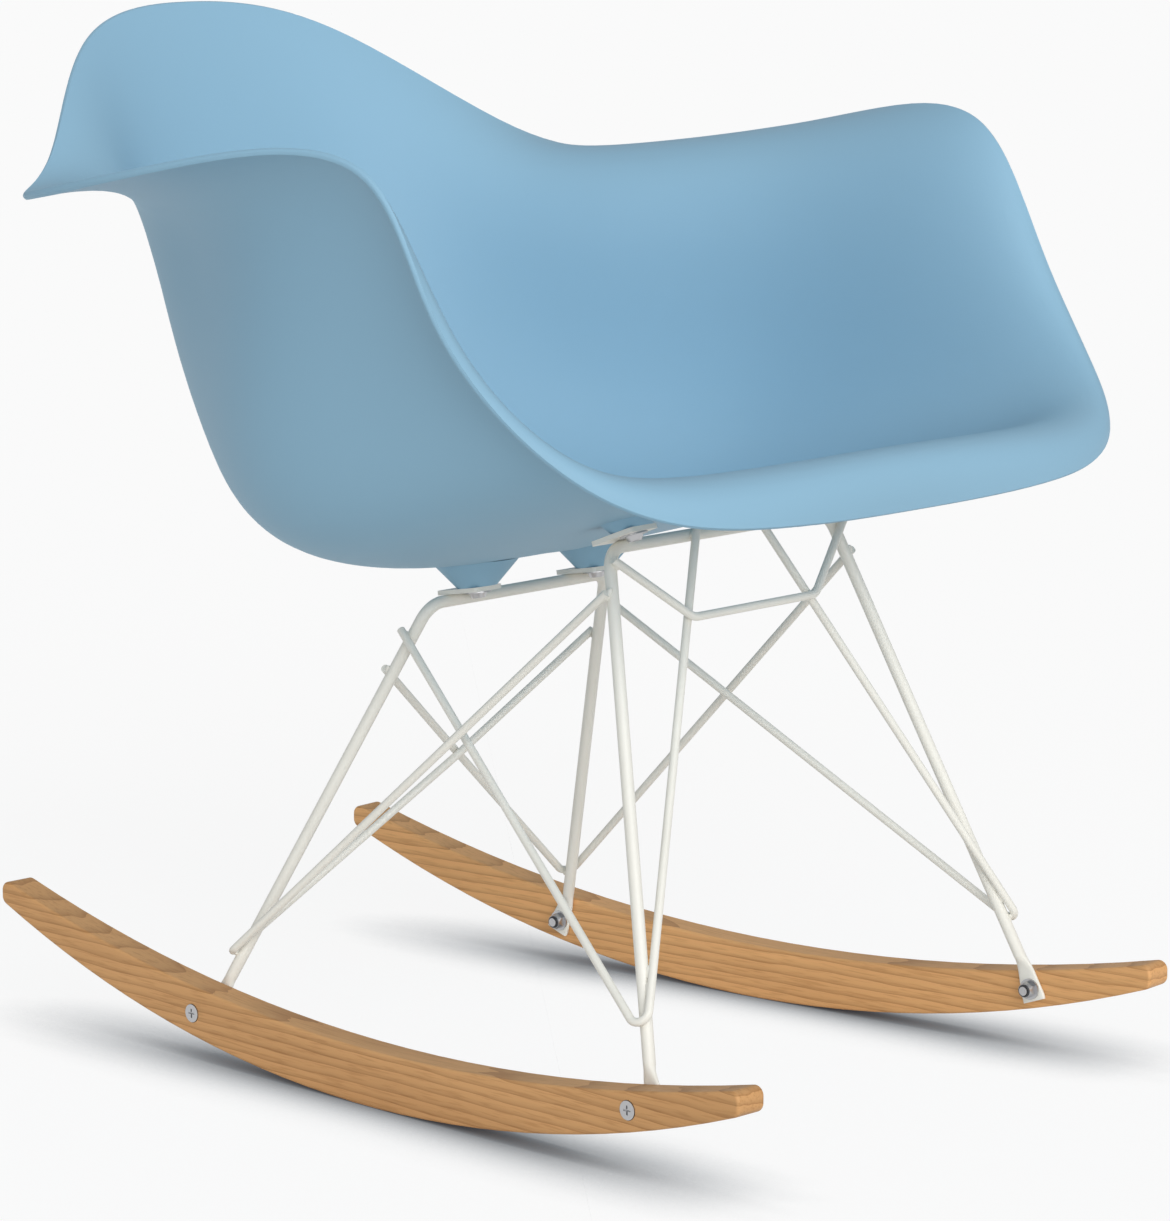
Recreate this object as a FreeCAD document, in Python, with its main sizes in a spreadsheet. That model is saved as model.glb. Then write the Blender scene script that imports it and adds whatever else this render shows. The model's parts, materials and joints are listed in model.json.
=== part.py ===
import FreeCAD, Part
import math
import os
import Sketcher
from FreeCAD import Placement, Rotation, Vector

# Moulded shell rocking chair on a welded rod base.
# Millimetres. The chair faces -Y, +X is the sitter's left, the floor is z = 0
# and the rockers' midpoint is y = 0.

DOC = FreeCAD.newDocument("rocking_chair")
SHEET = DOC.addObject("Spreadsheet::Sheet", "Sizes")

SIZES = {
    # rockers
    "rocker_length": 686.0,
    "rocker_thickness": 23.0,
    "rocker_spacing": 405.0,
    "rocker_splay_angle": 3.1,
    "rocker_radius": 945.0,
    "rocker_top_shift": -13.0,
    "rocker_height": 37.0,
    "rocker_end_height": 16.0,
    "rocker_end_round": 6.0,
    "rocker_edge_round": 2.0,
    "contact_shift": -25.0,
    # rocker fasteners, measured along the rocker from the contact line
    "front_bolt_reach": -228.0,
    "front_bolt_height": 42.0,
    "rear_bolt_reach": 170.0,
    "rear_bolt_height": 31.0,
    "bolt_radius": 3.0,
    "bolt_clearance": 0.3,
    "bolt_head_radius": 6.0,
    "bolt_head_height": 2.4,
    "bolt_head_sunk": 1.8,
    "bolt_end_length": 1.6,
    "recess_length": 6.0,
    "recess_width": 1.2,
    "recess_depth": 1.4,
    "tab_washer_radius": 7.0,
    "tab_washer_thickness": 1.2,
    "nut_flats": 10.0,
    "nut_height": 5.5,
    # rods
    "leg_rod_radius": 4.0,
    "brace_rod_radius": 2.7,
    "leg_bend_radius": 16.0,
    "brace_bend_radius": 7.0,
    "bar_bend_radius": 12.0,
    "tab_end": 8.5,
    "tab_rise": 23.0,
    "tab_width": 17.0,
    "tab_thickness": 3.6,
    "tab_seat_clearance": 0.3,
    "front_brace_tail": 5.5,
    "rear_brace_tail": 1.0,
    "brace_clearance": 0.4,
    "front_brace_turn": -0.31,
    "rear_brace_turn": 0.6,
    # leg tops
    "front_leg_half_width": 108.0,
    "front_leg_top_y": -144.0,
    "front_leg_top_z": 358.5,
    "rear_leg_half_width": 86.0,
    "rear_leg_top_y": 29.5,
    "rear_leg_top_z": 302.5,
    # where the braces meet the legs
    "front_brace_foot_z": 87.0,
    "front_brace_rear_z": 280.0,
    "front_brace_top_x": 32.0,
    "rear_brace_foot_z": 66.5,
    "rear_brace_front_z": 331.0,
    "rear_brace_cross_z": 256.0,
    "cross_bar_end_z": 349.0,
    "cross_bar_bend_z": 311.0,
    # seat mounts
    "front_mount_x": 102.0,
    "front_mount_reach": -17.5,
    "front_mount_tilt": 21.0,
    "rear_mount_x": 58.0,
    "rear_mount_reach": -17.5,
    "rear_mount_tilt": 9.5,
    "plate_width": 26.0,
    "plate_length": 36.0,
    "plate_thickness": 3.0,
    "plate_corner": 3.0,
    "plate_overhang": 8.0,
    "seat_screw_radius": 3.0,
    "seat_screw_clearance": 0.4,
    "seat_screw_head_radius": 6.0,
    "seat_screw_head_height": 3.4,
    "seat_screw_length": 11.0,
    "socket_radius": 2.3,
    "socket_depth": 2.0,
    "seat_washer_radius": 9.0,
    "seat_washer_thickness": 1.0,
    "insert_radius": 4.5,
    "insert_length": 9.0,
    "boss_foot_radius": 13.0,
    "boss_flare_slope": 0.9,
    "boss_root_depth": 1.2,
    # shell
    "shell_wall": 5.0,
    "rim_round": 1.6,
    "seat_disc_radius": 14.0,
    "seat_disc_y": -6.0,
    "seat_disc_z": 336.0,
    "seat_disc_slope": 0.18,
}

# Half rings of the shell's inner face, as control points from the front centre
# round the sitter's left side to the back centre: x, y, z.
SHELL_RINGS = {
    "seat": [
        (0, -146, 376), (56, -141, 375), (96, -120, 370), (115, -75, 355), (119, -28, 341),
        (118, 21, 327), (106, 70, 330), (78, 100, 333), (40, 115, 332), (0, 120, 331),
    ],
    "bend": [
        (0, -255, 416), (110, -250, 414), (195, -225, 404), (225, -145, 387), (236, -62, 357),
        (235, 33, 343), (186, 106, 347), (126, 162, 355), (76, 205, 358), (0, 214, 360),
    ],
    "wall": [
        (0, -287, 430), (125, -283, 427), (235, -247, 425), (261, -173, 439), (261, -71, 453),
        (252, 39, 448), (199, 125, 443), (159, 183, 445), (107, 251, 468), (0, 260, 479),
    ],
    "neck": [
        (0, -311, 418), (136, -309, 412), (262, -280, 420), (282, -192, 490), (264, -119, 591),
        (245, 14, 596), (178, 124, 599), (151, 220, 582), (108, 295, 612), (0, 309, 619),
    ],
    "rim": [
        (0, -299, 386), (137, -308, 389), (266, -280, 400), (306, -168, 505), (291, -138, 631),
        (341, 27, 599), (303, 199, 567), (223, 226, 575), (119, 326, 674), (0, 340, 683),
    ],
}


def fill_sheet():
    row = 1
    for name, value in SIZES.items():
        SHEET.set("A%d" % row, name)
        SHEET.set("B%d" % row, str(value))
        SHEET.setAlias("B%d" % row, name)
        row += 1
    for ring, points in SHELL_RINGS.items():
        for station, point in enumerate(points):
            for axis, value in zip("xyz", point):
                alias = "%s_ring_%s_%d" % (ring, axis, station + 100)
                SHEET.set("A%d" % row, alias)
                SHEET.set("B%d" % row, str(value))
                SHEET.setAlias("B%d" % row, alias)
                row += 1
    DOC.recompute()


def size(name):
    return float(SHEET.get(name))


def worth(expression):
    """The number that an expression over the sheet gives."""
    return float(SHEET.evalExpression(expression))


def bind(thing, **properties):
    """Bind each property to an expression over the sheet."""
    for name, expression in properties.items():
        thing.setExpression(name, expression)


def primitive(kind, name, **properties):
    thing = DOC.addObject("Part::" + kind, name)
    bind(thing, **properties)
    return thing


def at(x, y, z):
    return Placement(Vector(x, y, z), Rotation())


def cut(name, base, tool):
    thing = DOC.addObject("Part::Cut", name)
    thing.Base = base
    thing.Tool = tool
    return thing


def fuse(name, *pieces):
    thing = DOC.addObject("Part::MultiFuse", name)
    thing.Shapes = list(pieces)
    return thing


def feature(name, shape):
    thing = DOC.addObject("Part::Feature", name)
    thing.Shape = shape
    return thing


def facing(base, direction):
    """A placement at base whose Z axis points along direction."""
    return Placement(base, Rotation(Vector(0, 0, 1), direction))


# Geometry shared by the rockers, the rods and the mounts

SIDES = (("left", 1), ("right", -1))


def rocker_normal(side):
    splay = math.radians(size("rocker_splay_angle"))
    return Vector(side * math.cos(splay), math.sin(splay), 0)


def rocker_point(side, reach, height, depth=0.0):
    """A point at reach along the rocker, depth inside its outer face."""
    splay = math.radians(size("rocker_splay_angle"))
    along = Vector(-side * math.sin(splay), math.cos(splay), 0)
    start = Vector(side * size("rocker_spacing") / 2, size("contact_shift"), height)
    return start + along * reach - rocker_normal(side) * depth


def leg_top(end, side):
    return Vector(side * size(end + "_leg_half_width"), size(end + "_leg_top_y"), size(end + "_leg_top_z"))


def bolt_point(end, side, depth=0.0):
    return rocker_point(side, size(end + "_bolt_reach"), size(end + "_bolt_height"), depth)


def tab_direction(end, side):
    """The way a foot tab runs up from its bolt, in the plane of the rocker's face."""
    way = leg_top(end, side) - bolt_point(end, side)
    normal = rocker_normal(side)
    way = way - normal * way.dot(normal)
    return way.normalize()


def leg_foot(end, side):
    depth = size("rocker_thickness") + size("leg_rod_radius")
    return bolt_point(end, side, depth) + tab_direction(end, side) * size("tab_rise")


def on_leg(end, side, height):
    """The point of a leg's axis at a height."""
    foot = leg_foot(end, side)
    top = leg_top(end, side)
    return foot + (top - foot) * ((height - foot.z) / (top.z - foot.z))


def beside(point, line, toward, gap):
    """The point moved square to a line by a gap, toward a direction."""
    unit = Vector(line).normalize()
    away = toward - unit * toward.dot(unit)
    return point + away.normalize() * gap


def clear_of(point, line, crossing, toward, gap):
    """The point moved by a gap square to two crossing lines, on the side of toward."""
    away = line.cross(crossing).normalize()
    if away.dot(toward) < 0:
        away = away * -1
    return point + away * gap


def weld_gap():
    return size("leg_rod_radius") + size("brace_rod_radius")


# Bent rods

def bent_wire(points, bend_radius):
    """A polyline whose inner corners are rounded to a bend radius."""
    edges = []
    start = points[0]
    for before, corner, after in zip(points, points[1:], points[2:]):
        back = (before - corner).normalize()
        ahead = (after - corner).normalize()
        half = back.getAngle(ahead) / 2
        tangent = bend_radius / math.tan(half)
        bisector = (back + ahead).normalize()
        middle = corner + bisector * (bend_radius / math.sin(half) - bend_radius)
        first = corner + back * tangent
        last = corner + ahead * tangent
        edges.append(Part.makeLine(start, first))
        edges.append(Part.Arc(first, middle, last).toShape())
        start = last
    edges.append(Part.makeLine(start, points[-1]))
    return Part.Wire(edges)


def bent_rod(points, rod_radius, bend_radius):
    wire = bent_wire(points, bend_radius)
    direction = points[1] - points[0]
    profile = Part.Wire(Part.makeCircle(rod_radius, points[0], direction))
    return wire.makePipeShell([profile], True, False)


def squashed_ring(centre, across, square, half_width, half_height, power):
    """Closed curve round a centre: an ellipse at power 1, a flat bar at a lower power."""
    count = 24
    points = []
    for step in range(count):
        angle = 2 * math.pi * step / count
        wide = math.copysign(abs(math.cos(angle)) ** power, math.cos(angle))
        high = math.copysign(abs(math.sin(angle)) ** power, math.sin(angle))
        points.append(centre + across * (half_width * wide) + square * (half_height * high))
    curve = Part.BSplineCurve()
    curve.interpolate(Points=points, PeriodicFlag=True)
    return Part.Wire(curve.toShape())


def foot_tab(end, side):
    """The hammered end of a leg rod, on the rocker's inner face."""
    up = tab_direction(end, side)
    inward = rocker_normal(side) * -1
    across = inward.cross(up)
    bolt = bolt_point(end, side, size("rocker_thickness"))
    rod = size("leg_rod_radius")
    thin = size("tab_thickness")
    rings = []
    for share in (0.0, 0.25, 0.5, 0.75):
        spread = 1 - share ** 2 * (2 - share)
        half_width = rod + (size("tab_width") / 2 - rod) * spread
        thickness = thin + (2 * rod - thin) * max(0.0, 2 * share - 1) ** 3
        height = -size("tab_end") + (size("tab_rise") + size("tab_end")) * share
        centre = bolt + up * height + inward * (thickness / 2)
        rings.append(squashed_ring(centre, across, inward, half_width, thickness / 2, 0.5 + share / 3))
    axis = leg_line(end, side).normalize()
    over = (across - axis * across.dot(axis)).normalize()
    sunk = rod * 0.97
    for lap in (0.0, rod / 2):
        centre = leg_foot(end, side) + axis * lap
        rings.append(squashed_ring(centre, over, axis.cross(over) * -1, sunk, sunk, 1.0))
    tab = Part.makeLoft(rings, True, False)
    wide = size("tab_width") * 2
    wood = Part.makeBox(wide * 2, wide * 2, wide, Vector(-wide, -wide, -wide))
    seat_radius = size("tab_washer_radius") + size("tab_seat_clearance")
    seat = Part.makeCylinder(seat_radius, wide, Vector(0, 0, thin))
    hole = Part.makeCylinder(size("bolt_radius") + size("bolt_clearance"), wide)
    for tool in (wood, seat, hole):
        tool.Placement = Placement(bolt, Rotation(up, across, inward, "XYZ"))
        tab = tab.cut(tool)
    return tab


def leg_rod(end):
    points = [leg_foot(end, 1), leg_top(end, 1), leg_top(end, -1), leg_foot(end, -1)]
    shape = bent_rod(points, size("leg_rod_radius"), size("leg_bend_radius"))
    for name, side in SIDES:
        shape = shape.fuse(foot_tab(end, side))
    label = end + "_leg_rod"
    return feature(label, shape.removeSplitter())


def brace_vertex(middle, first, last):
    """The sharp corner of a brace whose rounded bend passes through middle."""
    bend = size("brace_bend_radius")
    vertex = middle
    for step in range(4):
        back = (first - vertex).normalize()
        ahead = (last - vertex).normalize()
        half = back.getAngle(ahead) / 2
        bisector = (back + ahead).normalize()
        vertex = middle - bisector * (bend / math.sin(half) - bend)
    return vertex


def past(start, end, tail):
    """The end of a line carried on by a tail."""
    return end + (end - start).normalize() * tail


def leg_line(end, side):
    return leg_top(end, side) - leg_foot(end, side)


def front_brace_corners(side):
    """Rear end, sharp corner and top end of a front V brace."""
    foot = on_leg("front", side, size("front_brace_foot_z"))
    outward = Vector(side, size("front_brace_turn"), 0)
    middle = beside(foot, leg_line("front", side), outward, weld_gap() + size("brace_clearance"))
    rear = on_leg("rear", side, size("front_brace_rear_z"))
    rear = clear_of(rear, leg_line("rear", side), rear - middle, Vector(side, 0, 0), weld_gap())
    top = leg_top("front", side)
    top.x = side * size("front_brace_top_x")
    top = clear_of(top, Vector(1, 0, 0), top - middle, Vector(0, -1, 0), weld_gap())
    return rear, brace_vertex(middle, rear, top), top


def front_brace(name, side):
    """V brace from a front leg's foot to the rear leg's top and the front cross rod."""
    rear, vertex, top = front_brace_corners(side)
    tail = size("front_brace_tail")
    points = [past(vertex, rear, tail), vertex, past(vertex, top, size("brace_rod_radius"))]
    return feature(name, bent_rod(points, size("brace_rod_radius"), size("brace_bend_radius")))


def rear_brace(name, side):
    """V brace from a rear leg's foot to the front leg's top and the other rear leg."""
    foot = on_leg("rear", side, size("rear_brace_foot_z"))
    outward = Vector(side * size("rear_brace_turn"), 1, 0)
    middle = beside(foot, leg_line("rear", side), outward, weld_gap() + size("brace_clearance"))
    front = on_leg("front", side, size("rear_brace_front_z"))
    front = clear_of(front, leg_line("front", side), front - middle, Vector(side, 0, 0), weld_gap())
    other = on_leg("rear", -side, size("rear_brace_cross_z"))
    other = clear_of(other, leg_line("rear", -side), other - middle, Vector(0, 1, 0), weld_gap())
    vertex = brace_vertex(middle, front, other)
    share = vertex.x / (vertex.x - other.x)
    arm = other - vertex
    square = Vector(0, arm.z, -arm.y).normalize()
    crossing = vertex + arm * share + square * side * (size("brace_rod_radius") + 0.05)
    points = [
        past(vertex, front, size("rear_brace_tail")),
        vertex,
        crossing,
        past(crossing, other, size("rear_brace_tail")),
    ]
    return feature(name, bent_rod(points, size("brace_rod_radius"), size("brace_bend_radius")))


def cross_bar_bend(side):
    """Where the bar bends, in front of the front V brace's upper arm."""
    rear, vertex, top = front_brace_corners(side)
    share = (size("cross_bar_bend_z") - vertex.z) / (top.z - vertex.z)
    point = vertex + (top - vertex) * share
    gap = 2 * size("brace_rod_radius")
    return clear_of(point, Vector(1, 0, 0), top - vertex, Vector(0, -1, 0), gap)


def cross_bar():
    """Bar across the front that dips between the front legs."""
    points = []
    for side in (1, -1):
        end = on_leg("front", side, size("cross_bar_end_z"))
        bend = cross_bar_bend(side)
        end = clear_of(end, leg_line("front", side), end - bend, Vector(0, -1, 0), weld_gap())
        points += [past(bend, end, size("brace_rod_radius")), bend]
    points = points[:2] + points[:1:-1]
    return feature("front_cross_bar", bent_rod(points, size("brace_rod_radius"), size("bar_bend_radius")))


# Seat mounts

def mount_frame(end, side):
    """Placement on a plate's lower face at its screw, with Z square to the plate."""
    tilt = math.radians(size(end + "_mount_tilt"))
    normal = Vector(0, math.sin(tilt), math.cos(tilt))
    rearward = Vector(0, math.cos(tilt), -math.sin(tilt))
    rod = leg_top(end, side)
    rod.x = side * size(end + "_mount_x")
    base = rod + normal * size("leg_rod_radius") + rearward * size(end + "_mount_reach")
    return Placement(base, Rotation(Vector(1, 0, 0), rearward, normal, "ZXY"))


def seat_plate(end, label, side):
    tag = "%s_%s" % (end, label)
    blank = primitive(
        "Box", "plate_blank_" + tag,
        Length="Sizes.plate_width", Width="Sizes.plate_length", Height="Sizes.plate_thickness",
    )
    reach = size(end + "_mount_reach")
    overhang = size("plate_overhang")
    length = size("plate_length")
    low = -reach - overhang if reach > 0 else -reach + overhang - length
    blank.Placement = at(-size("plate_width") / 2, low, 0)
    DOC.recompute()
    rounded = DOC.addObject("Part::Fillet", "plate_rounded_" + tag)
    rounded.Base = blank
    corner = size("plate_corner")
    rounded.Edges = [
        (number + 1, corner, corner)
        for number, edge in enumerate(blank.Shape.Edges)
        if abs(edge.tangentAt(edge.FirstParameter).z) > 0.9
    ]
    hole = primitive(
        "Cylinder", "plate_hole_" + tag,
        Radius="Sizes.seat_screw_radius + Sizes.seat_screw_clearance", Height="Sizes.plate_thickness",
    )
    plate = cut("seat_plate_" + tag, rounded, hole)
    plate.Placement = mount_frame(end, side)
    return plate


def seat_washer(end, label, side):
    tag = "%s_%s" % (end, label)
    disc = primitive(
        "Cylinder", "washer_disc_" + tag,
        Radius="Sizes.seat_washer_radius", Height="Sizes.seat_washer_thickness",
    )
    hole = primitive(
        "Cylinder", "washer_hole_" + tag,
        Radius="Sizes.seat_screw_radius + Sizes.seat_screw_clearance", Height="Sizes.seat_washer_thickness",
    )
    washer = cut("seat_washer_" + tag, disc, hole)
    frame = mount_frame(end, side)
    washer.Placement = frame.multiply(at(0, 0, -size("seat_washer_thickness")))
    return washer


def seat_screw(end, label, side):
    """Button head screw with a hexagon socket, driven from below."""
    tag = "%s_%s" % (end, label)
    head_height = size("seat_screw_head_height")
    head = primitive(
        "Cone", "screw_head_" + tag,
        Radius1="Sizes.seat_screw_head_radius * 0.72", Radius2="Sizes.seat_screw_head_radius",
        Height="Sizes.seat_screw_head_height",
    )
    shank = primitive(
        "Cylinder", "screw_shank_" + tag,
        Radius="Sizes.seat_screw_radius", Height="Sizes.seat_screw_length",
    )
    shank.Placement = at(0, 0, head_height)
    solid = fuse("screw_solid_" + tag, head, shank)
    socket = primitive(
        "Prism", "screw_socket_" + tag,
        Circumradius="Sizes.socket_radius", Height="Sizes.socket_depth",
    )
    socket.Polygon = 6
    screw = cut("seat_screw_" + tag, solid, socket)
    frame = mount_frame(end, side)
    screw.Placement = frame.multiply(at(0, 0, -size("seat_washer_thickness") - head_height))
    return screw


def seat_insert(end, label, side):
    """Threaded bush moulded into the shell's boss."""
    tag = "%s_%s" % (end, label)
    body = primitive(
        "Cylinder", "insert_body_" + tag,
        Radius="Sizes.insert_radius", Height="Sizes.insert_length",
    )
    bore = primitive(
        "Cylinder", "insert_bore_" + tag,
        Radius="Sizes.seat_screw_radius", Height="Sizes.insert_length",
    )
    insert = cut("seat_insert_" + tag, body, bore)
    frame = mount_frame(end, side)
    insert.Placement = frame.multiply(at(0, 0, size("plate_thickness")))
    return insert


# Shell

def whole_ring(points):
    """Mirror a half ring to the sitter's right and close it."""
    right = [Vector(-point.x, point.y, point.z) for point in points[-2:0:-1]]
    return points + right


def ring_from_sheet(ring):
    count = len(SHELL_RINGS[ring])
    points = []
    for station in range(count):
        values = [size("%s_ring_%s_%d" % (ring, axis, station + 100)) for axis in "xyz"]
        points.append(Vector(*values))
    return whole_ring(points)


def disc_ring(count, drop):
    """The small flat ring in the middle of the seat."""
    radius = size("seat_disc_radius")
    ring = []
    for station in range(count):
        turn = 2 * math.pi * station / count
        x = radius * math.sin(turn)
        y = -radius * math.cos(turn)
        z = size("seat_disc_z") - size("seat_disc_slope") * y - drop
        ring.append(Vector(x, size("seat_disc_y") + y, z))
    return ring


def ring_surface(rings, degree):
    """B-spline surface over rings of control points, closed round each ring."""
    count = len(rings[0])
    spans = len(rings) - degree
    cross_knots = [step / float(spans) for step in range(spans + 1)]
    cross_mults = [degree + 1] + [1] * (spans - 1) + [degree + 1]
    round_knots = [float(step) for step in range(count + 1)]
    round_mults = [1] * (count + 1)
    surface = Part.BSplineSurface()
    surface.buildFromPolesMultsKnots(
        rings, cross_mults, round_mults, cross_knots, round_knots, False, True, degree, 3
    )
    return surface


def outer_rings(rings):
    """The rings moved out by the wall, square to the inner face."""
    surface = ring_surface(rings, 3)
    wall = size("shell_wall")
    moved = [disc_ring(len(rings[0]), wall)]
    for ring in rings[1:]:
        outer = []
        for point in ring:
            u, v = surface.parameter(point)
            outward = surface.normal(u, v) * -1
            outer.append(point + outward * wall)
        moved.append(outer)
    return moved


def shell_skin():
    """The bucket as one closed solid: inner face, rounded rim, outer face."""
    rings = [disc_ring(18, 0.0)]
    rings += [ring_from_sheet(ring) for ring in ("seat", "bend", "wall", "neck", "rim")]
    inner = ring_surface(rings, 3)
    low = outer_rings(rings)
    outer = ring_surface(low, 3)
    crown = []
    for neck, inside, outside in zip(rings[-2], rings[-1], low[-1]):
        across = (outside - inside).normalize()
        ahead = inside - neck
        ahead = (ahead - across * ahead.dot(across)).normalize()
        crown.append((inside + outside) * 0.5 + ahead * 2 * size("rim_round"))
    rim = ring_surface([rings[-1], crown, low[-1]], 2)
    faces = [inner.toShape(), rim.toShape(), outer.toShape()]
    for surface in (inner, outer):
        edge = surface.uIso(0).toShape()
        faces.append(Part.Face(Part.Wire(edge)))
    shell = Part.makeShell(faces)
    shell.sewShape()
    solid = Part.Solid(Part.Shell(shell.Faces))
    if solid.Volume < 0:
        solid.reverse()
    return solid, inner


def boss(inner, end, side):
    """Flared foot from a mount plate up into the wall."""
    frame = mount_frame(end, side)
    axis = frame.Rotation.multVec(Vector(0, 0, 1))
    start = frame.Base + axis * size("plate_thickness")
    line = Part.makeLine(start, start + axis * 200).Curve
    hits = inner.intersect(line)[0]
    point = min((Vector(hit.X, hit.Y, hit.Z) for hit in hits), key=lambda hit: hit.z)
    u, v = inner.parameter(point)
    normal = inner.normal(u, v)
    if normal.z > 0:
        normal = normal * -1
    top = point + normal * size("boss_root_depth")
    height = (top - start).dot(axis)
    foot = size("boss_foot_radius")
    low = Part.Wire(Part.makeCircle(foot, start, axis))
    high = Part.Wire(Part.makeCircle(foot + size("boss_flare_slope") * height, top, normal * -1))
    solid = Part.makeLoft([low, high], True, True)
    hole = Part.makeCylinder(size("insert_radius"), size("insert_length"), start, axis)
    return solid, hole


def seat_shell():
    skin, inner = shell_skin()
    holes = []
    for end in ("front", "rear"):
        for label, side in SIDES:
            solid, hole = boss(inner, end, side)
            skin = skin.fuse(solid)
            holes.append(hole)
    for hole in holes:
        skin = skin.cut(hole)
    return feature("seat_shell", skin)


# Rockers

def top_radius_rule():
    """Radius of the rocker's top arc, from its middle height and its front end's height."""
    half = "(Sizes.rocker_length / 2 + Sizes.contact_shift)"
    ground = "(Sizes.rocker_radius - sqrt(Sizes.rocker_radius ^ 2 - %s ^ 2))" % half
    rise = "(%s + Sizes.rocker_end_height - Sizes.rocker_height)" % ground
    return "((%s + Sizes.rocker_top_shift) ^ 2 + %s ^ 2) / (2 * %s)" % (half, rise, rise)


def rocker_sketch(body, plane):
    front = -size("rocker_length") / 2 - size("contact_shift")
    rear = size("rocker_length") / 2 - size("contact_shift")
    radius = size("rocker_radius")
    top_radius = worth(top_radius_rule())
    shift = size("rocker_top_shift")
    top_centre = Vector(shift, size("rocker_height") + top_radius, 0)

    def low(y):
        return Vector(y, radius - math.sqrt(radius ** 2 - y ** 2), 0)

    def high(y):
        return Vector(y, top_centre.y - math.sqrt(top_radius ** 2 - (y - shift) ** 2), 0)

    sketch = body.newObject("Sketcher::SketchObject", body.Name + "_outline")
    sketch.AttachmentSupport = [(plane, "")]
    sketch.MapMode = "FlatFace"
    bottom = sketch.addGeometry(Part.Arc(low(front), low(0), low(rear)), False)
    top = sketch.addGeometry(Part.Arc(high(front), high(shift), high(rear)), False)
    nose = sketch.addGeometry(Part.LineSegment(low(front), high(front)), False)
    heel = sketch.addGeometry(Part.LineSegment(low(rear), high(rear)), False)
    constrain_rocker(sketch, bottom, top, nose, heel, front, rear)
    return sketch


def constrain_rocker(sketch, bottom, top, nose, heel, front, rear):
    rule = Sketcher.Constraint
    top_radius = worth(top_radius_rule())
    arc_ends = {}
    for arc in (bottom, top):
        shape = sketch.Geometry[arc]
        first_is_front = shape.StartPoint.x < shape.EndPoint.x
        arc_ends[arc] = (1, 2) if first_is_front else (2, 1)
    for line, which in ((nose, 0), (heel, 1)):
        sketch.addConstraint(rule("Coincident", bottom, arc_ends[bottom][which], line, 1))
        sketch.addConstraint(rule("Coincident", top, arc_ends[top][which], line, 2))
        sketch.addConstraint(rule("Vertical", line))
    sketch.addConstraint(rule("PointOnObject", bottom, 3, -2))
    named = [
        ("bottom_centre", rule("DistanceY", -1, 1, bottom, 3, size("rocker_radius")), "Sizes.rocker_radius"),
        ("bottom_radius", rule("Radius", bottom, size("rocker_radius")), "Sizes.rocker_radius"),
        ("top_radius", rule("Radius", top, top_radius), top_radius_rule()),
        (
            "top_centre", rule("DistanceY", -1, 1, top, 3, size("rocker_height") + top_radius),
            "Sizes.rocker_height + " + top_radius_rule(),
        ),
        ("top_shift", rule("DistanceX", -1, 1, top, 3, size("rocker_top_shift")), "Sizes.rocker_top_shift"),
        (
            "front_end", rule("DistanceX", -1, 1, nose, 1, front),
            "-Sizes.rocker_length / 2 - Sizes.contact_shift",
        ),
        (
            "rear_end", rule("DistanceX", -1, 1, heel, 1, rear),
            "Sizes.rocker_length / 2 - Sizes.contact_shift",
        ),
    ]
    for name, constraint, expression in named:
        index = sketch.addConstraint(constraint)
        sketch.renameConstraint(index, name)
        sketch.setExpression("Constraints." + name, expression)


def bolt_circles(body, plane, name, radius):
    """Sketch of one circle round each bolt."""
    sketch = body.newObject("Sketcher::SketchObject", body.Name + name)
    sketch.AttachmentSupport = [(plane, "")]
    sketch.MapMode = "FlatFace"
    for end in ("front", "rear"):
        reach = size(end + "_bolt_reach")
        height = size(end + "_bolt_height")
        circle = Part.Circle(Vector(reach, height, 0), Vector(0, 0, 1), 4.0)
        shape = sketch.addGeometry(circle, False)
        rules = (
            ("reach_" + end, Sketcher.Constraint("DistanceX", -1, 1, shape, 3, reach),
             "Sizes.%s_bolt_reach" % end),
            ("height_" + end, Sketcher.Constraint("DistanceY", -1, 1, shape, 3, height),
             "Sizes.%s_bolt_height" % end),
            ("radius_" + end, Sketcher.Constraint("Radius", shape, 4.0), radius),
        )
        for label, constraint, expression in rules:
            index = sketch.addConstraint(constraint)
            sketch.renameConstraint(index, label)
            sketch.setExpression("Constraints." + label, expression)
    return sketch


def edges_named(shape, wanted):
    return ["Edge%d" % (number + 1) for number, edge in enumerate(shape.Edges) if wanted(edge)]


def runs_across(edge):
    return abs(edge.tangentAt(edge.FirstParameter).x) > 0.99


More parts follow.
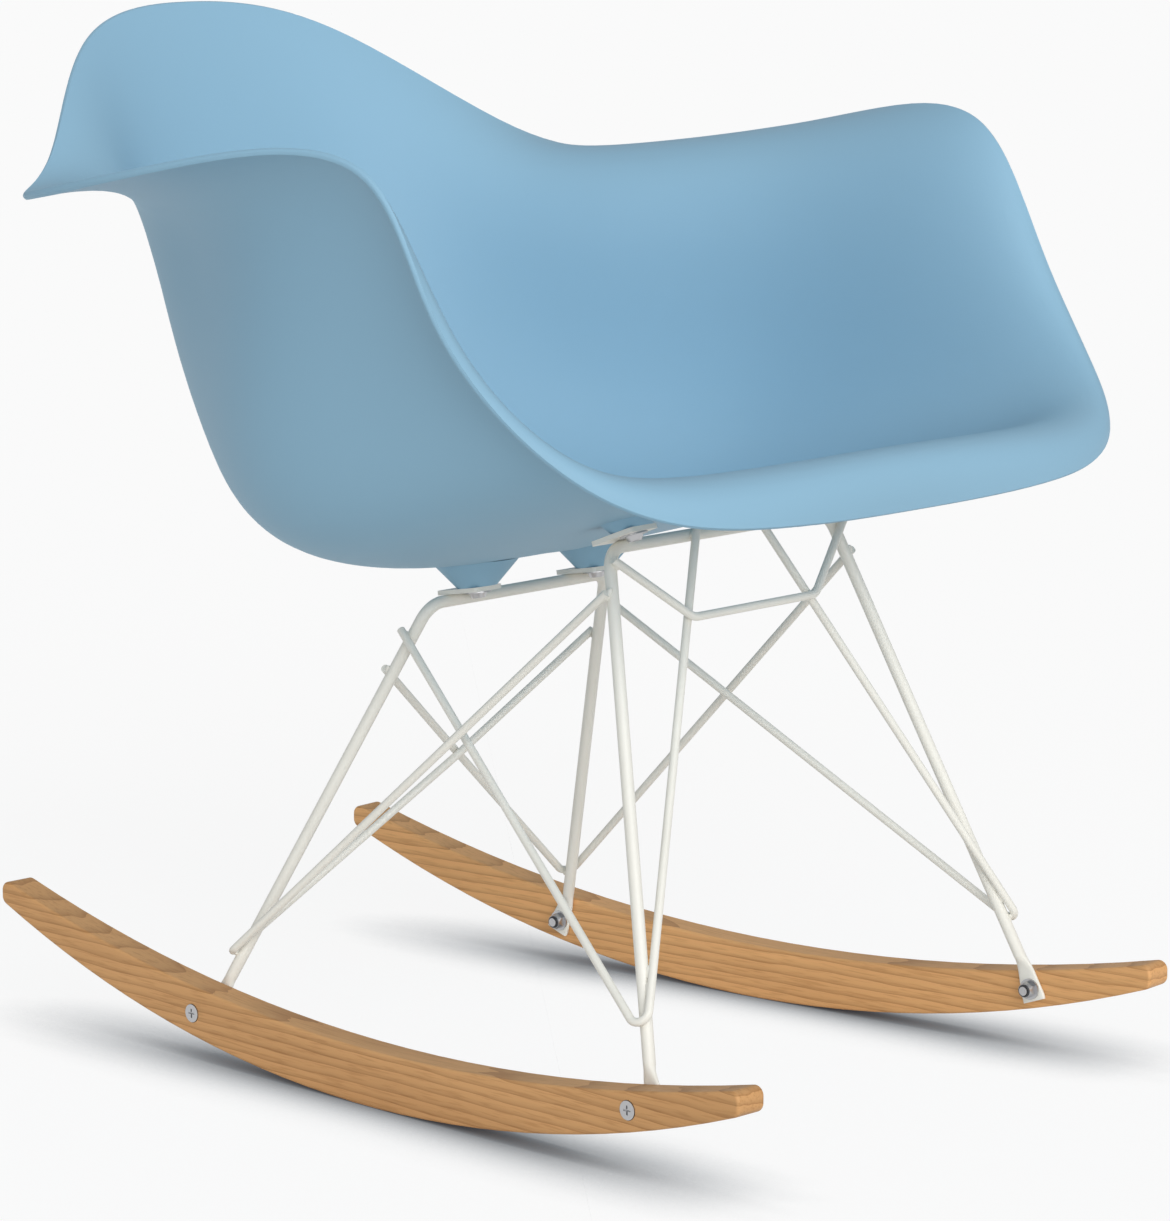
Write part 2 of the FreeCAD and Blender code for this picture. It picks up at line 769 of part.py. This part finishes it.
def rocker(label, side):
    body = DOC.addObject("PartDesign::Body", "rocker_" + label)
    plane = next(f for f in body.Origin.OriginFeatures if f.Role == "YZ_Plane")
    pad = body.newObject("PartDesign::Pad", "rocker_board_" + label)
    pad.Profile = rocker_sketch(body, plane)
    bind(pad, Length="Sizes.rocker_thickness")
    pad.Reversed = side > 0
    DOC.recompute()
    ends = body.newObject("PartDesign::Fillet", "rocker_ends_" + label)
    ends.Base = (pad, edges_named(pad.Shape, runs_across))
    bind(ends, Radius="Sizes.rocker_end_round")
    DOC.recompute()
    edges = body.newObject("PartDesign::Fillet", "rocker_edges_" + label)
    edges.Base = (ends, edges_named(ends.Shape, lambda edge: not runs_across(edge)))
    bind(edges, Radius="Sizes.rocker_edge_round")
    DOC.recompute()
    holes = body.newObject("PartDesign::Pocket", "rocker_holes_" + label)
    holes.Profile = bolt_circles(body, plane, "_bolt_holes", "Sizes.bolt_radius + Sizes.bolt_clearance")
    holes.Type = "ThroughAll"
    holes.Reversed = side < 0
    seats = body.newObject("PartDesign::Pocket", "rocker_head_seats_" + label)
    seats.Profile = bolt_circles(body, plane, "_head_seats", "Sizes.bolt_head_radius + Sizes.bolt_clearance")
    seats.Reversed = side < 0
    bind(seats, Length="Sizes.bolt_head_sunk")
    splay = size("rocker_splay_angle") * side
    base = Vector(side * size("rocker_spacing") / 2, size("contact_shift"), 0)
    body.Placement = Placement(base, Rotation(Vector(0, 0, 1), splay))
    return body


def bolt_frame(end, side, depth):
    """Placement on a bolt's axis, depth inside the rocker's outer face, Z outward."""
    return facing(bolt_point(end, side, depth), rocker_normal(side))


def rocker_bolt(end, label, side):
    """Flat cross head bolt through the rocker and the foot tab."""
    tag = "%s_%s" % (end, label)
    head = primitive(
        "Cylinder", "bolt_head_" + tag,
        Radius="Sizes.bolt_head_radius", Height="Sizes.bolt_head_height",
    )
    grip = "Sizes.rocker_thickness - Sizes.bolt_head_sunk + Sizes.tab_thickness"
    shank = primitive(
        "Cylinder", "bolt_shank_" + tag, Radius="Sizes.bolt_radius",
        Height=grip + " + Sizes.tab_washer_thickness + Sizes.nut_height + Sizes.bolt_end_length",
    )
    DOC.recompute()
    shank.Placement = at(0, 0, -float(shank.Height))
    solid = fuse("bolt_solid_" + tag, head, shank)
    depth = size("recess_depth")
    top = size("bolt_head_height") - depth
    long_half = size("recess_length") / 2
    short_half = size("recess_width") / 2
    bars = []
    for name, x, y in (("a", long_half, short_half), ("b", short_half, long_half)):
        lengths = ("Sizes.recess_length", "Sizes.recess_width")
        if name == "b":
            lengths = lengths[::-1]
        bar = primitive(
            "Box", "recess_%s_%s" % (name, tag),
            Length=lengths[0], Width=lengths[1], Height="Sizes.recess_depth",
        )
        bar.Placement = at(-x, -y, top)
        bars.append(bar)
    bolt = cut("rocker_bolt_" + tag, solid, fuse("recess_" + tag, *bars))
    bolt.Placement = bolt_frame(end, side, size("bolt_head_sunk"))
    return bolt


def tab_washer(end, label, side):
    tag = "%s_%s" % (end, label)
    disc = primitive(
        "Cylinder", "tab_washer_disc_" + tag,
        Radius="Sizes.tab_washer_radius", Height="Sizes.tab_washer_thickness",
    )
    hole = primitive(
        "Cylinder", "tab_washer_hole_" + tag,
        Radius="Sizes.bolt_radius + Sizes.bolt_clearance", Height="Sizes.tab_washer_thickness",
    )
    washer = cut("rocker_washer_" + tag, disc, hole)
    depth = size("rocker_thickness") + size("tab_thickness") + size("tab_washer_thickness")
    washer.Placement = bolt_frame(end, side, depth)
    return washer


def rocker_nut(end, label, side):
    tag = "%s_%s" % (end, label)
    hexagon = primitive(
        "Prism", "nut_hexagon_" + tag,
        Circumradius="Sizes.nut_flats / sqrt(3)", Height="Sizes.nut_height",
    )
    hexagon.Polygon = 6
    dome = primitive(
        "Cone", "nut_dome_" + tag,
        Radius1="Sizes.nut_flats * 0.46", Radius2="Sizes.nut_flats * 0.66", Height="Sizes.nut_height",
    )
    body = DOC.addObject("Part::Common", "nut_body_" + tag)
    body.Base = hexagon
    body.Tool = dome
    bore = primitive(
        "Cylinder", "nut_bore_" + tag,
        Radius="Sizes.bolt_radius", Height="Sizes.nut_height",
    )
    nut = cut("rocker_nut_" + tag, body, bore)
    depth = size("rocker_thickness") + size("tab_thickness")
    depth += size("tab_washer_thickness") + size("nut_height")
    nut.Placement = bolt_frame(end, side, depth)
    return nut


def build():
    fill_sheet()
    nodes = [seat_shell()]
    nodes += [leg_rod("front"), leg_rod("rear"), cross_bar()]
    for label, side in SIDES:
        nodes.append(front_brace("front_brace_" + label, side))
        nodes.append(rear_brace("rear_brace_" + label, side))
        nodes.append(rocker(label, side))
        for end in ("front", "rear"):
            nodes.append(seat_plate(end, label, side))
            nodes.append(seat_washer(end, label, side))
            nodes.append(seat_screw(end, label, side))
            nodes.append(seat_insert(end, label, side))
            nodes.append(rocker_bolt(end, label, side))
            nodes.append(tab_washer(end, label, side))
            nodes.append(rocker_nut(end, label, side))
    DOC.recompute()
    return nodes


def check(nodes):
    for thing in DOC.Objects:
        if "Invalid" in thing.State or "Error" in thing.State:
            raise RuntimeError("%s is %s" % (thing.Name, thing.State))
    for node in nodes:
        if node.Shape.isNull() or not node.Shape.isValid():
            raise RuntimeError(node.Name + " has no valid shape")


def export(nodes):
    os.makedirs("parts", exist_ok=True)
    for node in nodes:
        node.Label = node.Name
        node.Shape.exportStep("parts/%s.step" % node.Label)


NODES = build()
check(NODES)
export(NODES)
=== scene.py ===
import json
import math

import bmesh
import bpy
from mathutils import Matrix, Vector
from mathutils.bvhtree import BVHTree


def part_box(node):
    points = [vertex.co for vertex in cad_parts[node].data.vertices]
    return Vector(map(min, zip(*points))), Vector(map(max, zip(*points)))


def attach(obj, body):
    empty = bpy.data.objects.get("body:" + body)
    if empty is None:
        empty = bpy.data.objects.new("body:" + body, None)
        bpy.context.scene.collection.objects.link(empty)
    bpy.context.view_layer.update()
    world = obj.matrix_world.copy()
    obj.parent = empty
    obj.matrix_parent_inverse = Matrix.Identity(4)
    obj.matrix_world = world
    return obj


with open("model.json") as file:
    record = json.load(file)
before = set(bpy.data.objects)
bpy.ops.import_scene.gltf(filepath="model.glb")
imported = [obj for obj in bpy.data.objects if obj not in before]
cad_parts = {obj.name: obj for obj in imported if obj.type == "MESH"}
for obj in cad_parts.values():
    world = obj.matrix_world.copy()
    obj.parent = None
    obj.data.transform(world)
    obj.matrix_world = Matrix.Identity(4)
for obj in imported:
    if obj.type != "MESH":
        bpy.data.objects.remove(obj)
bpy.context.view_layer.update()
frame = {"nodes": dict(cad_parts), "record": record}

# The photograph's camera, worked out from the object's pairs of left and right features:
# place and clipping in metres, turns in degrees, lens and sensor in millimetres
CAMERA_PLACE = Vector((-2.284, -2.050, 0.795))
CAMERA_YAW = 48.49
CAMERA_PITCH = -9.33
CAMERA_LENS = 139.45
CAMERA_SENSOR = 36.0
CAMERA_NEAR = 0.05
CAMERA_FAR = 100.0

# Colours of the finishes, linear, and the darkest and lightest shade that each drifts to
SHELL_BLUE = (0.262, 0.455, 0.600)
SHELL_SHADES = (0.985, 1.015)
FRAME_WHITE = (0.80, 0.785, 0.72)
FRAME_SHADES = (0.97, 1.02)
NYLON = (0.045, 0.045, 0.050)
NYLON_SHADES = (0.8, 1.3)
STEEL = (0.52, 0.52, 0.53)
BRASS = (0.66, 0.50, 0.22)
WOOD_BASE = (0.615, 0.340, 0.145)
WOOD_LINE = (0.440, 0.222, 0.086)
NEAR_BOARD = 1.0
FAR_BOARD = 1.20

# Roughness of each finish, and how strongly the unmetallic ones mirror
SHELL_ROUGHNESS = 0.5
SHELL_MIRROR = 0.16
FRAME_ROUGHNESS = 0.38
FRAME_MIRROR = 0.45
WOOD_ROUGHNESS = 0.46
WOOD_MIRROR = 0.2
NYLON_ROUGHNESS = 0.4
BRASS_ROUGHNESS = 0.35
STEEL_ROUGHNESS = (0.22, 0.42)

# Noise scales: marks to a metre, and how many finer layers each noise has
SHELL_DRIFT = 3.0
SHELL_GRAIN = 900.0
FRAME_DRIFT = 14.0
NYLON_DRIFT = 900.0
STEEL_BRUSH = 700.0
BRASS_MARKS = 500.0
SOFT_DETAIL = 2.0
FINE_DETAIL = 3.0

# Bumps: strength, and depth in metres
SHELL_BUMP = (0.12, 0.0003)
WOOD_BUMP = (0.12, 0.0003)
BRASS_BUMP = (0.2, 0.0002)

# Wood: the growth lines' wave, which repeats about every 6.7 mm up the board, and its waver
GROWTH_PITCH = 47.0
GROWTH_WAVER = 3.2
GROWTH_DETAIL_SCALE = 1.3

# Wood: stretches of its textures across, along and up the board
GROWTH_STRETCH = (1.0, 0.14, 1.0)
PORE_STRETCH = (700.0, 22.0, 700.0)
DRIFT_STRETCH = (26.0, 3.0, 26.0)

# Wood: tints that the pores and the slow drift put over the growth lines
PORE_TINTS = [(0.34, (0.86, 0.83, 0.79)), (0.5, (1.0, 1.0, 1.0))]
DRIFT_TINTS = [(0.35, (0.91, 0.89, 0.87)), (0.62, (1.03, 1.03, 1.03))]

# Floor: its colour, what it sends back up, and the painted shadow: how dark it is painted where
# something is close above
FLOOR_WHITE = (0.956, 0.956, 0.956)
FLOOR_BOUNCE = (0.88, 0.87, 0.85)
FLOOR_HALF_WIDTH = 60.0
PAPER_WHITE = (1.0, 1.0, 1.0)
PAPER_SHARE = 0.85
PAINTED_SHADOW_REACH = 0.08
PAINTED_SHADOW_SAMPLES = 16
# Tones of the floor's painted shadow, from fully hidden floor to open floor
PAINTED_SHADOW_TONES = [
    (0.0, (0.02, 0.024, 0.03)),
    (0.5, (0.16, 0.18, 0.20)),
    (0.72, (0.54, 0.56, 0.58)),
    (0.92, PAPER_WHITE),
]

# Light: levels, the ways the suns shine, and their width in degrees
WORLD_TINT = (0.98, 0.99, 1.0)
WORLD_LEVEL = 0.46
KEY_LEVEL = 1.46
KEY_DIRECTION = (0.30, 0.85, -0.45)
FILL_LEVEL = 0.82
FILL_DIRECTION = (0.74, 0.60, -0.30)
SUN_WIDTH = 50
SUN_DISTANCE = 3

# Nylon collars in the lock nuts, in metres
COLLAR_RADIUS = 0.0036
COLLAR_WIRE = 0.0007
COLLAR_FLATNESS = 0.6
COLLAR_STEPS = 40
COLLAR_SIDES = 10

# Weld beads, in metres: size, how near two rods touch, spacing of beads and of searched points
WELD_LENGTH = 0.0046
WELD_WIDTH = 0.0021
WELD_SEARCH = 0.0007
WELD_SPACING = 0.012
WELD_STEP = 0.0015
WELD_LEAST_POINTS = 3
WELD_LEAST_RUN = 1e-5
WELD_LUMP = 0.10
WELD_LUMPS_ALONG = 5
WELD_LUMPS_ACROSS = 4

# How far the shadow edge is lifted off the thin rods: by place and by angle
ROD_SHADOW_LIFT = 0.6
ROD_SHADOW_TURN = 0.3

# Sockets of a Mix node that mixes colours
MIX_FIRST = 6
MIX_SECOND = 7
MIX_RESULT = 2


# Small helpers for node materials

def new_material(name):
    material = bpy.data.materials.new(name)
    material.use_nodes = True
    tree = material.node_tree
    shader = tree.nodes["Principled BSDF"]
    return material, tree, shader


def add_node(tree, kind, **values):
    """A node, with each value set on its property or, where it has none, on its socket."""
    node = tree.nodes.new(kind)
    for name, value in values.items():
        if hasattr(node, name):
            setattr(node, name, value)
        else:
            node.inputs[name.replace("_", " ")].default_value = value
    return node


def link(tree, start, end):
    tree.links.new(start, end)


def place_coordinates(tree, stretch=(1, 1, 1)):
    """The object's own place, stretched along each axis."""
    coordinates = add_node(tree, "ShaderNodeTexCoord")
    mapping = add_node(tree, "ShaderNodeMapping", Scale=stretch)
    link(tree, coordinates.outputs["Object"], mapping.inputs["Vector"])
    return mapping.outputs["Vector"]


def add_noise(tree, place, scale, detail):
    noise = add_node(tree, "ShaderNodeTexNoise", Scale=scale, Detail=detail)
    link(tree, place, noise.inputs["Vector"])
    return noise.outputs["Fac"]


def add_bump(tree, shader, height, strength, depth):
    bump = add_node(tree, "ShaderNodeBump", Strength=strength, Distance=depth)
    link(tree, height, bump.inputs["Height"])
    link(tree, bump.outputs["Normal"], shader.inputs["Normal"])


def colour_ramp(tree, value, stops):
    ramp = add_node(tree, "ShaderNodeValToRGB")
    elements = ramp.color_ramp.elements
    while len(elements) < len(stops):
        elements.new(0.5)
    for element, (position, colour) in zip(elements, stops):
        element.position = position
        element.color = (*colour, 1.0)
    link(tree, value, ramp.inputs["Fac"])
    return ramp.outputs["Color"]


def multiply_colours(tree, first, second):
    mix = add_node(tree, "ShaderNodeMix", data_type="RGBA", blend_type="MULTIPLY")
    mix.inputs["Factor"].default_value = 1.0
    link(tree, first, mix.inputs[MIX_FIRST])
    link(tree, second, mix.inputs[MIX_SECOND])
    return mix.outputs[MIX_RESULT]


def shade(colour, factor):
    return tuple(channel * factor for channel in colour)


def drifting_colour(tree, shader, place, scale, colour, shades):
    """The shader's colour drifts between two shades of one colour."""
    dark, light = shades
    drift = add_noise(tree, place, scale, SOFT_DETAIL)
    tone = colour_ramp(tree, drift, [(0.3, shade(colour, dark)), (0.7, shade(colour, light))])
    link(tree, tone, shader.inputs["Base Color"])


def metal_colour(shader, colour):
    shader.inputs["Base Color"].default_value = (*colour, 1.0)
    shader.inputs["Metallic"].default_value = 1.0


# Materials

def shell_plastic():
    """Moulded plastic: an even blue with a fine grain."""
    material, tree, shader = new_material("shell_plastic")
    place = place_coordinates(tree)
    drifting_colour(tree, shader, place, SHELL_DRIFT, SHELL_BLUE, SHELL_SHADES)
    add_bump(tree, shader, add_noise(tree, place, SHELL_GRAIN, FINE_DETAIL), *SHELL_BUMP)
    shader.inputs["Roughness"].default_value = SHELL_ROUGHNESS
    shader.inputs["Specular IOR Level"].default_value = SHELL_MIRROR
    return material


def frame_paint():
    material, tree, shader = new_material("frame_paint")
    place = place_coordinates(tree)
    drifting_colour(tree, shader, place, FRAME_DRIFT, FRAME_WHITE, FRAME_SHADES)
    shader.inputs["Roughness"].default_value = FRAME_ROUGHNESS
    shader.inputs["Specular IOR Level"].default_value = FRAME_MIRROR
    return material


def collar_nylon():
    material, tree, shader = new_material("collar_nylon")
    place = place_coordinates(tree)
    drifting_colour(tree, shader, place, NYLON_DRIFT, NYLON, NYLON_SHADES)
    shader.inputs["Roughness"].default_value = NYLON_ROUGHNESS
    return material


def rocker_wood(name, tone):
    """Straight-grained board: growth lines along its length over a warm, even ground."""
    material, tree, shader = new_material(name)
    ground = shade(WOOD_BASE, tone)
    lines = add_node(
        tree, "ShaderNodeTexWave", wave_profile="SAW", bands_direction="Z",
        Scale=GROWTH_PITCH, Distortion=GROWTH_WAVER, Detail=SOFT_DETAIL,
        Detail_Scale=GROWTH_DETAIL_SCALE,
    )
    link(tree, place_coordinates(tree, GROWTH_STRETCH), lines.inputs["Vector"])
    grain = colour_ramp(
        tree, lines.outputs["Fac"],
        [
            (0.0, shade(WOOD_LINE, tone)), (0.20, shade(ground, 0.87)),
            (0.50, ground), (0.90, shade(ground, 1.03)),
        ],
    )
    pores = add_noise(tree, place_coordinates(tree, PORE_STRETCH), 1.0, FINE_DETAIL)
    fine = multiply_colours(tree, grain, colour_ramp(tree, pores, PORE_TINTS))
    drift = add_noise(tree, place_coordinates(tree, DRIFT_STRETCH), 1.0, SOFT_DETAIL)
    colour = multiply_colours(tree, fine, colour_ramp(tree, drift, DRIFT_TINTS))
    link(tree, colour, shader.inputs["Base Color"])
    add_bump(tree, shader, pores, *WOOD_BUMP)
    shader.inputs["Roughness"].default_value = WOOD_ROUGHNESS
    shader.inputs["Specular IOR Level"].default_value = WOOD_MIRROR
    return material


def dull_steel():
    """Plated steel, brushed a little unevenly."""
    material, tree, shader = new_material("fastener_steel")
    metal_colour(shader, STEEL)
    smoothest, roughest = STEEL_ROUGHNESS
    rough = add_node(tree, "ShaderNodeMapRange", To_Min=smoothest, To_Max=roughest)
    brush = add_noise(tree, place_coordinates(tree), STEEL_BRUSH, SOFT_DETAIL)
    link(tree, brush, rough.inputs["Value"])
    link(tree, rough.outputs["Result"], shader.inputs["Roughness"])
    return material


def turned_brass():
    material, tree, shader = new_material("insert_brass")
    metal_colour(shader, BRASS)
    marks = add_noise(tree, place_coordinates(tree), BRASS_MARKS, SOFT_DETAIL)
    add_bump(tree, shader, marks, *BRASS_BUMP)
    shader.inputs["Roughness"].default_value = BRASS_ROUGHNESS
    return material


def finish_nodes(materials):
    """Each CAD node takes the material of its slot in the record."""
    slots = {part["node"]: part["material_slot"] for part in frame["record"]["subparts"]}
    for name, node in frame["nodes"].items():
        node.data.materials.clear()
        node.data.materials.append(materials[slots[name]])


def finish_far_rocker():
    """The left rocker, the far one, takes a copy of the wood made lighter than the near one."""
    board = frame["nodes"]["rocker_left"].data.materials
    board.clear()
    board.append(rocker_wood("rocker_wood_light", FAR_BOARD))


# Small pieces that the solids leave out

def new_piece(name, mesh, material):
    for face in mesh.polygons:
        face.use_smooth = True
    mesh.materials.append(material)
    piece = bpy.data.objects.new(name, mesh)
    bpy.context.collection.objects.link(piece)
    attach(piece, "root")
    return piece


def middle(node):
    low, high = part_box(node)
    return (Vector(low) + Vector(high)) / 2


def turn_to(direction):
    return direction.to_track_quat("Z", "Y").to_matrix().to_4x4()


def collar_mesh(name, place):
    """A flattened ring round the Z axis of a place."""
    points = []
    faces = []
    for step in range(COLLAR_STEPS):
        turn = 2 * math.pi * step / COLLAR_STEPS
        ahead = (step + 1) % COLLAR_STEPS
        for side in range(COLLAR_SIDES):
            lean = 2 * math.pi * side / COLLAR_SIDES
            radius = COLLAR_RADIUS + COLLAR_WIRE * math.cos(lean)
            height = COLLAR_WIRE * COLLAR_FLATNESS * math.sin(lean)
            point = Vector((radius * math.cos(turn), radius * math.sin(turn), height))
            points.append(place @ point)
            beside = (side + 1) % COLLAR_SIDES
            faces.append((
                step * COLLAR_SIDES + side, ahead * COLLAR_SIDES + side,
                ahead * COLLAR_SIDES + beside, step * COLLAR_SIDES + beside,
            ))
    mesh = bpy.data.meshes.new(name)
    mesh.from_pydata(points, [], faces)
    return mesh


def nut_collars(material):
    """The nylon collar that shows round each bolt's end in its lock nut."""
    for end in ("front", "rear"):
        for label in ("left", "right"):
            tag = "%s_%s" % (end, label)
            nut = frame["nodes"]["rocker_nut_" + tag]
            centre = middle("rocker_nut_" + tag)
            axis = (centre - middle("rocker_bolt_" + tag)).normalized()
            reach = max((vertex.co - centre).dot(axis) for vertex in nut.data.vertices)
            place = Matrix.Translation(centre + axis * reach) @ turn_to(axis)
            mesh = collar_mesh("collar_" + tag, place)
            new_piece("nut_collar_" + tag, mesh, material)


def touching_points(first, second):
    """Points along the edges of one node that touch the other, gathered place by place."""
    tree = BVHTree.FromObject(frame["nodes"][second], bpy.context.evaluated_depsgraph_get())
    mesh = frame["nodes"][first].data
    groups = []
    for edge in mesh.edges:
        start, stop = (mesh.vertices[index].co for index in edge.vertices)
        count = max(1, int((stop - start).length / WELD_STEP))
        for step in range(count + 1):
            point = start.lerp(stop, step / count)
            if tree.find_nearest(point, WELD_SEARCH)[0] is None:
                continue
            for group in groups:
                if (group[0] - point).length < WELD_SPACING:
                    group.append(point)
                    break
            else:
                groups.append([point])
    return [group for group in groups if len(group) >= WELD_LEAST_POINTS]


def touching_places(first, second):
    """Middles of the places where two nodes touch, with the way each bead runs."""
    places = []
    for group in touching_points(first, second):
        centre = sum(group, Vector()) / len(group)
        far = max(group, key=lambda point: (point - centre).length)
        run = far - centre
        if run.length < WELD_LEAST_RUN:
            run = Vector((0, 0, 1))
        places.append((centre, run.normalized()))
    return places


def bead_mesh(name, number, centre, run):
    """A lumpy egg, long along its run. Its number shifts the lumps."""
    ball = bmesh.new()
    bmesh.ops.create_icosphere(ball, subdivisions=3, radius=1.0)
    for vertex in ball.verts:
        lump = 1 + (
            WELD_LUMP * math.sin(WELD_LUMPS_ALONG * vertex.co.z + number)
            * math.cos(WELD_LUMPS_ACROSS * vertex.co.x)
        )
        vertex.co = Vector((
            vertex.co.x * WELD_WIDTH * lump, vertex.co.y * WELD_WIDTH * lump,
            vertex.co.z * WELD_LENGTH,
        ))
    ball.transform(Matrix.Translation(centre) @ turn_to(run))
    mesh = bpy.data.meshes.new(name)
    ball.to_mesh(mesh)
    ball.free()
    return mesh


def weld_beads(material):
    """A small bead at each place where a brace or the bar is welded to a leg rod."""
    pairs = [("front_cross_bar", "front_leg_rod")]
    for label in ("left", "right"):
        for brace in ("front_brace_", "rear_brace_"):
            for leg in ("front_leg_rod", "rear_leg_rod"):
                pairs.append((brace + label, leg))
    number = 0
    for first, second in pairs:
        for centre, run in touching_places(first, second):
            number += 1
            name = "weld_%d" % number
            new_piece(name, bead_mesh(name, number, centre, run), material)


def soften_terminators():
    """Thin round rods have few sides, so their shadow edge is lifted off them."""
    for name, node in frame["nodes"].items():
        if name.endswith(("_rod", "_bar")) or "_brace_" in name:
            node.cycles.shadow_terminator_geometry_offset = ROD_SHADOW_LIFT
            node.cycles.shadow_terminator_offset = ROD_SHADOW_TURN


# Stage

def floor_material():
    """White to the eye and in reflections, with a painted shadow where something is close above;
    a little darker to the light that it sends back up.
    """
    material, tree, shader = new_material("floor")
    shader.inputs["Base Color"].default_value = (*FLOOR_WHITE, 1.0)
    shader.inputs["Roughness"].default_value = 1.0
    shader.inputs["Specular IOR Level"].default_value = 0.0
    bounce = add_node(tree, "ShaderNodeBsdfDiffuse")
    bounce.inputs["Color"].default_value = (*FLOOR_BOUNCE, 1.0)
    # Painted shadow: the emitted white is darkened where the object is close above the floor.
    near = add_node(
        tree, "ShaderNodeAmbientOcclusion", samples=PAINTED_SHADOW_SAMPLES, Distance=PAINTED_SHADOW_REACH,
    )
    near.inputs["Color"].default_value = (*PAPER_WHITE, 1.0)
    painted_shadow = colour_ramp(tree, near.outputs["AO"], PAINTED_SHADOW_TONES)
    paper_and_painted_shadow = add_node(tree, "ShaderNodeEmission", Strength=1.0)
    link(tree, painted_shadow, paper_and_painted_shadow.inputs["Color"])
    shown = add_node(tree, "ShaderNodeMixShader", Fac=PAPER_SHARE)
    link(tree, shader.outputs["BSDF"], shown.inputs[1])
    link(tree, paper_and_painted_shadow.outputs["Emission"], shown.inputs[2])
    rays = add_node(tree, "ShaderNodeLightPath")
    direct = add_node(tree, "ShaderNodeMath", operation="ADD")
    link(tree, rays.outputs["Is Camera Ray"], direct.inputs[0])
    link(tree, rays.outputs["Is Glossy Ray"], direct.inputs[1])
    seen = add_node(tree, "ShaderNodeMath", operation="ADD", use_clamp=True)
    link(tree, direct.outputs["Value"], seen.inputs[0])
    link(tree, rays.outputs["Is Transmission Ray"], seen.inputs[1])
    mix = add_node(tree, "ShaderNodeMixShader")
    link(tree, seen.outputs["Value"], mix.inputs["Fac"])
    link(tree, bounce.outputs["BSDF"], mix.inputs[1])
    link(tree, shown.outputs["Shader"], mix.inputs[2])
    link(tree, mix.outputs["Shader"], tree.nodes["Material Output"].inputs["Surface"])
    return material


def make_floor():
    size = FLOOR_HALF_WIDTH
    mesh = bpy.data.meshes.new("floor")
    corners = [(-size, -size, 0), (size, -size, 0), (size, size, 0), (-size, size, 0)]
    mesh.from_pydata(corners, [], [(0, 1, 2, 3)])
    floor = bpy.data.objects.new("floor", mesh)
    bpy.context.collection.objects.link(floor)
    mesh.materials.append(floor_material())


def make_world():
    world = bpy.data.worlds.new("studio")
    bpy.context.scene.world = world
    world.use_nodes = True
    background = world.node_tree.nodes["Background"]
    background.inputs["Color"].default_value = (*WORLD_TINT, 1.0)
    background.inputs["Strength"].default_value = WORLD_LEVEL


def sun(name, direction, strength):
    """A soft sun that shines along a direction."""
    light = bpy.data.lights.new(name, "SUN")
    light.energy = strength
    light.angle = math.radians(SUN_WIDTH)
    lamp = bpy.data.objects.new(name, light)
    bpy.context.collection.objects.link(lamp)
    lamp.location = Vector(direction) * -SUN_DISTANCE
    lamp.rotation_euler = Vector(direction).to_track_quat("-Z", "Y").to_euler()


def make_camera():
    data = bpy.data.cameras.new("photo_camera")
    data.sensor_width = CAMERA_SENSOR
    data.lens = CAMERA_LENS
    data.clip_start = CAMERA_NEAR
    data.clip_end = CAMERA_FAR
    camera = bpy.data.objects.new("photo_camera", data)
    bpy.context.collection.objects.link(camera)
    camera.location = CAMERA_PLACE
    yaw = math.radians(CAMERA_YAW)
    pitch = math.radians(CAMERA_PITCH)
    level = math.cos(pitch)
    ahead = Vector((math.sin(yaw) * level, math.cos(yaw) * level, math.sin(pitch)))
    camera.rotation_euler = ahead.to_track_quat("-Z", "Y").to_euler()
    bpy.context.scene.camera = camera


materials = {
    "shell_plastic": shell_plastic(),
    "frame_paint": frame_paint(),
    "rocker_wood": rocker_wood("rocker_wood", NEAR_BOARD),
    "fastener_steel": dull_steel(),
    "insert_brass": turned_brass(),
}
finish_nodes(materials)
finish_far_rocker()
soften_terminators()
nut_collars(collar_nylon())
weld_beads(materials["frame_paint"])
make_camera()
make_floor()
make_world()
sun("key", KEY_DIRECTION, KEY_LEVEL)
sun("fill", FILL_DIRECTION, FILL_LEVEL)
bpy.context.scene.view_settings.view_transform = "Standard"
